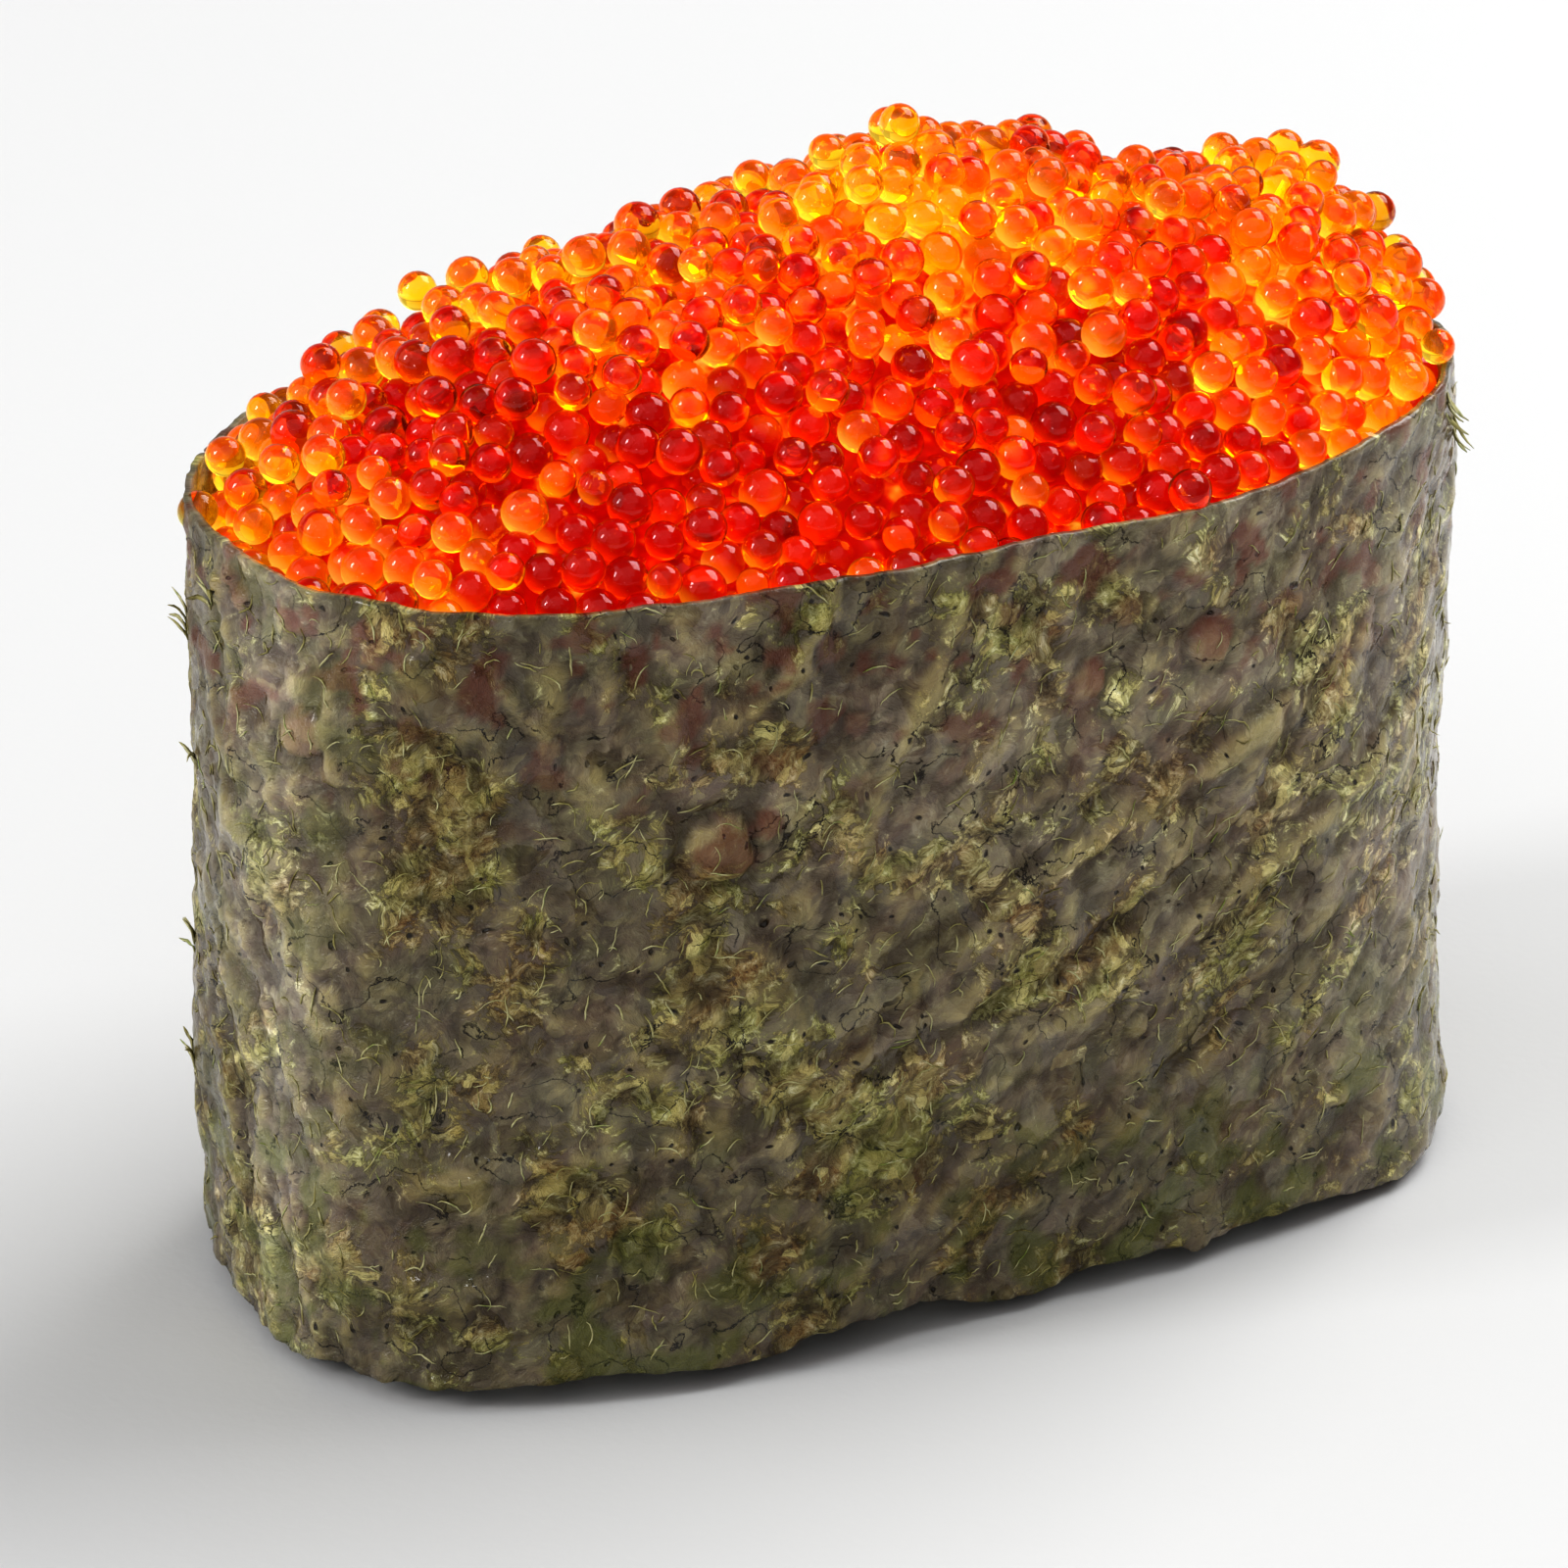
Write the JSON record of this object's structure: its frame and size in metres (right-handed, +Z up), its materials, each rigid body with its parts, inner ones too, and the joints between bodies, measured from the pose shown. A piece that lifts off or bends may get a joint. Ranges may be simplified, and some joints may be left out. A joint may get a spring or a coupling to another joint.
{
  "type": "gunkan sushi",
  "caption": "Oval piece of sushi: a pad of pressed rice stood in an upright nori band, heaped above the rim with small clear orange-red fish roe.",
  "frame": {"origin": "on the table under the middle of the piece's bounding box", "axes": "+X along the piece towards its higher end, -Y out of its front, +Z up"},
  "size_m": [0.0518, 0.0298, 0.0429],
  "materials": {
    "rice": "moist cooked rice, slightly translucent",
    "nori": "softened dried seaweed sheet, mottled dark green and purple-grey, satin",
    "roe": "wet clear orange-red eggs"
  },
  "bodies": {
    "root": {"rice": "rice", "nori": "nori", "roe": "roe"}
  },
  "joints": []
}
